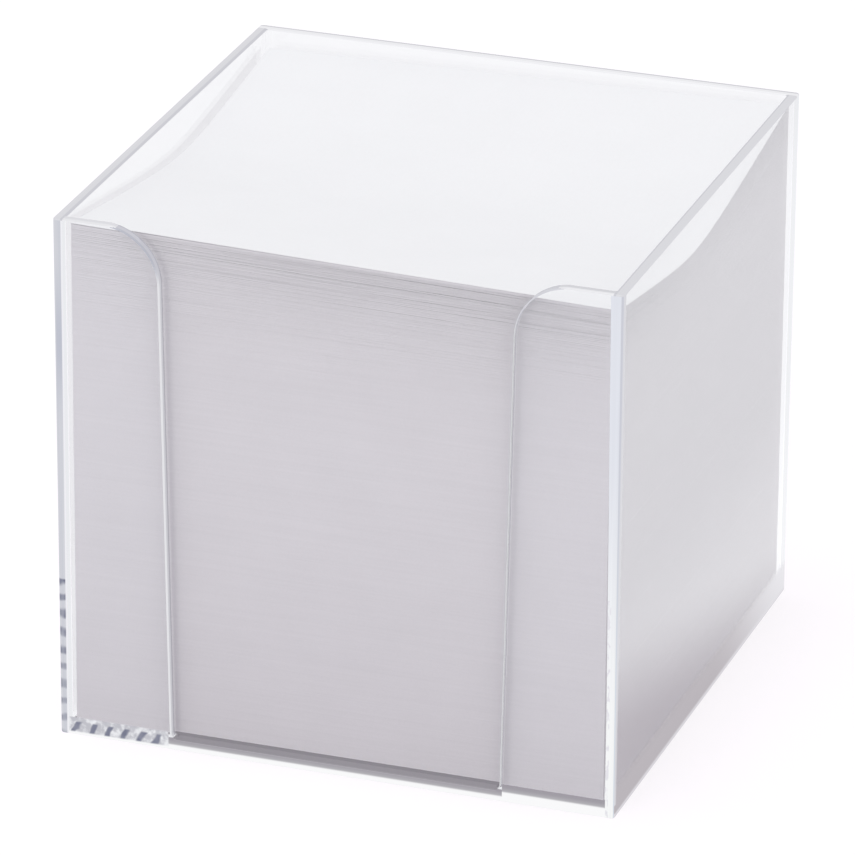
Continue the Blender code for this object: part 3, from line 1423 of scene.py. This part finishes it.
@dataclass(frozen=True)
class Curl:
    """The curl of the upper sheets, whose front and back edges rise.

    A pair of heights, dips or places holds the left edge's value and the right edge's.
    """

    most: float = 0.0036
    start_share: float = 0.50
    power: float = 2.0
    front_heights: Pair = (0.00475, 0.00260)
    back_heights: Pair = (0.00285, 0.00440)
    dips: Pair = (-0.00120, -0.00220)
    dip_places: Pair = (0.10, -0.15)
    dip_bend: float = 0.25

    def at(self, share: float) -> float:
        """How far the front and back edges stand above the middle, at a share of the stack's height."""
        above = max(0.0, (share - self.start_share) / (1.0 - self.start_share))
        return self.most * above**self.power

    def rise(self, u: np.ndarray, v: np.ndarray) -> np.ndarray:
        """The top sheet's height above its middle when flat, as a share of the curl.

        The front and back edges stand up, the front left and back right corners most, and the middle dips.

        Args:
            u: places across, from -1 to 1.
            v: places along, from -1 (front edge) to 1 (back edge).

        Returns:
            The share at each.
        """
        right = (1.0 + u) / 2.0
        pairs = (self.dip_places, self.dips, self.front_heights, self.back_heights)
        place, low, front, back = (start + (end - start) * right for start, end in pairs)
        offset = v - place
        reach = np.where(offset > 0.0, 1.0 - place, 1.0 + place)
        bend = self.dip_bend
        share = (np.hypot(offset / reach, bend) - bend) / (math.hypot(1.0, bend) - bend)
        edge = np.where(offset > 0.0, back, front)
        return (low + (edge - low) * share) / self.most


@dataclass(frozen=True)
class Air:
    """The air between the sheets of a packet, which opens uneven gaps between some of them.

    Low in the stack hardly any shows, and most in its topmost packet. The curve of a gap is a sum of
    slopes and waves, each weighed by chance: a wave has its strength and its turns across and along.
    """

    least: float = 0.004
    on_top: float = 0.065
    on_top_across: Pair = (0.8, 0.2)
    open_from: float = 1.0
    open_sharpness: float = 6.0
    closed: float = 0.04
    slopes: tuple[float, ...] = (0.7, 0.6, 0.6, 0.5)
    waves: tuple[Triple, ...] = ((0.7, 4.0, 2.0), (0.6, 7.0, -3.0))
    wave_shift: float = 3.0
    loose: float = 0.17
    loose_power: float = 9.0
    loose_across: Triple = (1.10, 0.25, -0.35)
    loose_back_power: float = 2.5

    def share(self, u: np.ndarray, level: float) -> np.ndarray:
        """How much of a packet's room is air.

        Args:
            u: places across, from -1 to 1.
            level: how near the packet is to the stack's top, from 0 to 1.

        Returns:
            The share at each place.
        """
        middle, slope = self.on_top_across
        return self.least + self.on_top * level * (middle + slope * u)

    def below(self, source: np.random.Generator, u: np.ndarray, v: np.ndarray, gaps: int) -> np.ndarray:
        """Shares the air in a packet out between its sheets, unevenly, and changing across the sheet.

        Args:
            source: where the chance comes from.
            u: places across, from -1 to 1.
            v: places along, from -1 to 1.
            gaps: how many gaps share the air.

        Returns:
            How much of the air lies below each sheet, from 0 to 1, with the sheets first.
        """
        weights = []
        slopes = (np.ones_like(u), u, v, u * v)
        for _ in range(gaps):
            chances = source.normal(size=len(self.slopes) + len(self.waves))
            curve = sum(
                strength * chance * slope for strength, chance, slope in zip(self.slopes, chances, slopes)
            )
            for (strength, across, along), chance in zip(self.waves, chances[len(slopes) :]):
                turn = across * u + along * v + self.wave_shift * chance
                curve = curve + strength * np.cos(turn)
            shut = np.exp(self.open_sharpness * (self.open_from - curve))
            weights.append(self.closed + 1.0 / (1.0 + shut))
        total = np.cumsum(np.stack(weights), 0)
        shares = total / total[-1]
        return np.concatenate([np.zeros((1, *u.shape)), shares])

    def looseness(self, u: np.ndarray, v: np.ndarray, share: float) -> np.ndarray:
        """How much of a sheet's step is air that lies evenly below all of them: most at the front edge.

        Args:
            u: places across, from -1 to 1.
            v: places along, from -1 to 1.
            share: the packet's share of the stack's height.

        Returns:
            The share of air at each place.
        """
        level, slope, crown = self.loose_across
        across = level + slope * u + crown * u * u
        to_front = ((1.0 - v) / 2.0) ** self.loose_back_power
        return self.loose * across * to_front * share**self.loose_power


@dataclass
class NoteStack:
    """The loose sheets: packets from the floor up, then single sheets, the upper ones curled."""

    side: float = 0.090
    thickness: float = 0.0001
    packets: int = 46
    sheets_in_packet: int = 15
    more_on_top: int = 6
    top_gap: float = 0.00005
    top_wave: float = 0.25
    top_wave_turn: float = 2.2
    columns: int = 16
    rows: int = 14
    flat_rows: int = 2
    top_rows: int = 32
    stray: float = 0.000003
    stray_on_top: float = 0.000015
    on_top_power: float = 14.0
    shift_share: float = 0.1
    seed: int = 11
    curl: Curl = Curl()
    air: Air = Air()

    def grid(self, rows: int) -> tuple[np.ndarray, np.ndarray]:
        """A sheet's grid.

        Args:
            rows: how many rows of cells it has from front to back.

        Returns:
            The places across and along, each from -1 to 1.
        """
        across = np.linspace(-1.0, 1.0, self.columns + 1)
        along = np.linspace(-1.0, 1.0, rows + 1)
        return np.meshgrid(across, along)

    def packet(
        self, index: int, low: float, pitch: float, centre: Vector, finishes: Finishes
    ) -> bpy.types.Object:
        """Builds a packet of sheets.

        Args:
            index: its place in the stack, from 0 at the floor.
            low: the height of its lowest point.
            pitch: the packets' spacing in the middle of the stack.
            centre: the middle of its node.
            finishes: the finishes of the sheets' faces and edges.

        Returns:
            The packet.
        """
        source = np.random.default_rng([self.seed, index])
        share = (index + 1) / self.packets
        below, above = self.curl.at(index / self.packets), self.curl.at(share)
        rows = self.rows if above > 0.0 else self.flat_rows
        u, v = self.grid(rows)
        rise = self.curl.rise(u, v)
        start = low + below * rise
        last = index == self.packets - 1
        sheets = self.sheets_in_packet + (self.more_on_top if last else 0)
        room = pitch * sheets / self.sheets_in_packet + (above - below) * rise
        level = share**self.on_top_power
        air = room * self.air.share(u, level)
        step = (room - air) / sheets
        thickness = step * (1.0 - self.air.looseness(u, v, share))
        shares = self.air.below(source, u, v, sheets)
        mesh = SheetMesh(self.columns, rows)
        for sheet in range(sheets):
            shift = source.normal(0.0, self.stray + self.stray_on_top * level, 2)
            x = centre.x * self.shift_share + shift[0] + u * self.side / 2
            y = centre.y * self.shift_share + shift[1] + v * self.side / 2
            mesh.add(x, y, start + sheet * step + air * shares[sheet], thickness)
        return mesh.finish(f"packet_{index + 1:02d}_sheets", finishes)

    def single(
        self, name: str, order: int, low: float, centre: Vector, finishes: Finishes
    ) -> bpy.types.Object:
        """Builds one of the single sheets on top.

        Args:
            name: the sheet's name.
            order: its place among them, from 0.
            low: the height of its lowest point.
            centre: the middle of its node.
            finishes: the finishes of the sheet's faces and edges.

        Returns:
            The sheet.
        """
        source = np.random.default_rng([self.seed, self.packets, order])
        u, v = self.grid(self.top_rows)
        twist, bend, shift = source.normal(size=3)
        wave = twist * u * v + bend * np.cos(self.top_wave_turn * u + shift) * v * v
        mesh = SheetMesh(self.columns, self.top_rows)
        x = centre.x * self.shift_share + u * self.side / 2
        y = centre.y * self.shift_share + v * self.side / 2
        under = low + self.curl.most * self.curl.rise(u, v) + self.top_wave * self.top_gap * wave
        mesh.add(x, y, under, self.thickness)
        return mesh.finish(f"{name}_paper", finishes)

    def build(self, frame: dict, fibre: EffectGroup) -> None:
        """Builds every packet and single sheet in place of its node, on its body.

        Args:
            frame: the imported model.
            fibre: the group of paper fibres.
        """
        finishes = tuple(SHEET_FINISHES[kind].make(fibre) for kind in SheetFace)
        bodies = frame["record"]["behaviour"]["bodies"]
        homes = {node: body for body, nodes in bodies.items() for node in nodes}
        names = [f"sheet_packet_{index + 1:02d}" for index in range(self.packets)]
        lows = [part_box(name)[0].z for name in names]
        pitch = (lows[-1] - lows[0]) / (self.packets - 1)
        for index, name in enumerate(names):
            low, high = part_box(name)
            piece = self.packet(index, low.z, pitch, (low + high) / 2, finishes)
            install(piece, name, homes[name])
        singles = ("loose_sheet_1", "loose_sheet_2", "top_sheet")
        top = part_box(singles[-1])[0].z
        for order, name in enumerate(singles):
            low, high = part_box(name)
            height = top - (len(singles) - 1 - order) * (self.thickness + self.top_gap)
            piece = self.single(name, order, height, (low + high) / 2, finishes)
            install(piece, name, homes[name])


def install(piece: bpy.types.Object, node: str, body: str) -> None:
    """Puts a piece in a node's place, on the node's body.

    Args:
        piece: the piece.
        node: the node that it stands for.
        body: the body that it moves with.
    """
    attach(piece, body)
    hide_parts(node)
    LOG.info("%s stands for %s on %s: %d faces", piece.name, node, body, len(piece.data.polygons))


@dataclass(frozen=True)
class BroadLamp:
    """A square soft lamp that looks at the object."""

    name: str
    place: Triple
    power: float
    side: float = 0.65
    colour: Colour = WHITE

    def hang(self) -> None:
        """Hangs the lamp in its place."""
        lamp = bpy.data.lights.new(self.name, "AREA")
        lamp.shape = "SQUARE"
        lamp.size = self.side
        lamp.energy = self.power
        lamp.color = self.colour
        place = Vector(self.place)
        turn = place.to_track_quat("Z", "Y").to_matrix().to_4x4()
        new_object(self.name, lamp).matrix_world = Matrix.Translation(place) @ turn


@dataclass(frozen=True)
class Studio:
    """A white sweep, the soft light of a tent round it, one broad lamp above and one in front.

    To reflections the floor shows a painted reflection: white, with a painted shadow on the object's
    right, painted light close to the object and a little darker again far out. To other rays it is
    painted darker near the object, a painted shade that dims the light it throws back.
    """

    floor_reach: float = 3.0
    floor_drop: float = 0.00005
    floor_tone: Colour = (0.55, 0.53, 0.56)
    # Painted shade: the floor's darker colour near the object, which dims the light it throws back.
    painted_floor_shade_near: Colour = (0.30, 0.26, 0.30)
    near_reach: Pair = (0.130, 0.060)
    floor_lift: float = 0.53
    floor_lift_near: float = 0.25
    floor_lift_under: float = 0.12
    footprint: float = 0.0455
    # Painted reflection: colours that the floor glows with in reflections, in place of its lit colour.
    mirrored: Colour = (0.95, 0.95, 0.97)
    mirrored_beside: Colour = (1.00, 1.00, 1.02)
    # Painted light in reflections, close to the object's right side.
    mirrored_close: Colour = (1.18, 1.18, 1.20)
    close_reach: Pair = (0.076, 0.052)
    # Painted shadow in reflections, on the object's right towards the front.
    mirrored_painted_shadow: Colour = (0.62, 0.58, 0.62)
    patch_side: float = 0.046
    patch_slant: float = 2.7
    patch_reach: Pair = (0.088, 0.004)
    mirrored_far: Colour = (0.85, 0.85, 0.87)
    far_reach: Pair = (0.100, 0.116)
    tent_light: float = 0.65
    tent_colour: Colour = (0.985, 0.985, 1.0)
    lamps: tuple[BroadLamp, ...] = (
        BroadLamp("upper_lamp", (-0.15, -0.10, 1.65), 8.3),
        BroadLamp("front_lamp", (-0.45, -1.58, 0.12), 6.8),
    )

    def seen(self, wiring: Wiring) -> Socket:
        """Picks the rays that see the background: from the camera, a reflection or clear plastic.

        Args:
            wiring: the nodes that it is for.

        Returns:
            A mask of those rays.
        """
        rays = wiring.add("LightPath").outputs
        return wiring.any_of(rays["Is Camera Ray"], rays["Is Glossy Ray"], rays["Is Transmission Ray"])

    def hang_tent(self) -> None:
        """Lights the scene from all sides, and shows white to the eye."""
        world = bpy.data.worlds.new("white_tent")
        world.use_nodes = True
        bpy.context.scene.world = world
        wiring = Wiring(world.node_tree)
        light = wiring.glow(self.tent_colour, self.tent_light, "Background")
        white = wiring.glow(WHITE, kind="Background")
        wiring.put_out(wiring.mix(self.seen(wiring), light, white), "OutputWorld")

    def reflected(self, wiring: Wiring, spot: Spot) -> Socket:
        """Works out the floor's painted reflection: the colour that it glows with in reflections.

        Args:
            wiring: the floor's nodes.
            spot: the place on the floor.

        Returns:
            The colour.
        """
        from_side = wiring.times(wiring.minus(spot.x, self.patch_side), self.patch_slant)
        patch = wiring.between(wiring.plus(spot.y, from_side), *self.patch_reach)
        close = wiring.between(spot.x, *self.close_reach)
        colour = wiring.blend(close, self.mirrored_beside, self.mirrored_close)
        colour = wiring.blend(patch, colour, self.mirrored_painted_shadow)
        colour = wiring.blend(wiring.between(spot.x, *self.far_reach), colour, self.mirrored_far)
        return wiring.blend(wiring.above(spot.x, self.patch_side), self.mirrored, colour)

    def lay_floor(self) -> None:
        """Lays the pale floor. It keeps the object's shadow, and is as white as the tent elsewhere."""
        bm = bmesh.new()
        bmesh.ops.create_grid(bm, x_segments=1, y_segments=1, size=self.floor_reach)
        bmesh.ops.translate(bm, verts=bm.verts, vec=(0.0, 0.0, -self.floor_drop))
        floor = mesh_object("floor", bm)
        material, wiring = new_material("pale_floor")
        floor.data.materials.append(material)
        spot = wiring.place()
        away = wiring.higher(wiring.magnitude(spot.x), wiring.magnitude(spot.y))
        near = wiring.between(away, *self.near_reach)
        matt = wiring.add("BsdfDiffuse")
        # Near the object the floor is painted darker: painted shade.
        wiring.link(wiring.blend(near, self.floor_tone, self.painted_floor_shade_near), matt.inputs["Color"])
        rays = wiring.add("LightPath").outputs
        lifted = wiring.all_of(
            wiring.higher(rays["Is Camera Ray"], rays["Is Transmission Ray"]),
            wiring.above(away, self.footprint),
            wiring.plus(wiring.times(near, self.floor_lift_near), self.floor_lift),
        )
        under = wiring.times(self.seen(wiring), self.floor_lift_under)
        lift = wiring.glow(WHITE, wiring.higher(lifted, under))
        both = wiring.add("AddShader")
        wiring.link(matt.outputs[0], both.inputs[0])
        wiring.link(lift.outputs[0], both.inputs[1])
        # Reflections see the floor's painted reflection.
        mirrored = wiring.glow(self.reflected(wiring, spot))
        wiring.put_out(wiring.mix(rays["Is Glossy Ray"], both, mirrored))

    def set_up(self) -> None:
        """Sets up the floor, the tent and the lamps."""
        self.lay_floor()
        self.hang_tent()
        for lamp in self.lamps:
            lamp.hang()


@dataclass(frozen=True)
class Viewpoint:
    """The camera: a long lens that looks down at the right front corner."""

    azimuth: float = 19.026
    elevation: float = 23.125
    roll: float = 0.418
    distance: float = 1.263966
    aim: Triple = (-0.005667, 0.014054, 0.035437)
    focal_pixels: float = 7599.0
    sensor: float = 36.0

    def set_up(self) -> None:
        """Creates the camera and makes it the scene's own."""
        turn, lift = math.radians(self.azimuth), math.radians(self.elevation)
        level = math.cos(lift)
        back = Vector((math.sin(turn) * level, -math.cos(turn) * level, math.sin(lift)))
        right = Vector((0.0, 0.0, 1.0)).cross(back).normalized()
        up = back.cross(right)
        lean = math.radians(self.roll)
        across = right * math.cos(lean) + up * math.sin(lean)
        upward = up * math.cos(lean) - right * math.sin(lean)
        place = Vector(self.aim) + back * self.distance
        data = bpy.data.cameras.new("long_lens")
        data.sensor_width = self.sensor
        data.lens = self.focal_pixels * self.sensor / PHOTO_SIDE_PIXELS
        camera = new_object("long_lens", data)
        axes = Matrix((across, upward, back)).transposed().to_4x4()
        camera.matrix_world = Matrix.Translation(place) @ axes
        bpy.context.scene.camera = camera


def main() -> None:
    """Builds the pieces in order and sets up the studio."""
    logging.basicConfig(level=logging.INFO, format="%(message)s")
    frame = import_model()
    bpy.context.scene.view_settings.view_transform = "Standard"
    low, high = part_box("box_shell")
    moulding = Moulding(width=high.x - low.x, depth=high.y - low.y, height=high.z - low.z)
    shell = moulding.build()
    moulding.dress(shell, HandlingMarks().group())
    install(shell, "box_shell", "box")
    NoteStack().build(frame, PaperFibre().group())
    Studio().set_up()
    Viewpoint().set_up()
    bpy.context.view_layer.update()


if __name__ == "__main__":
    main()
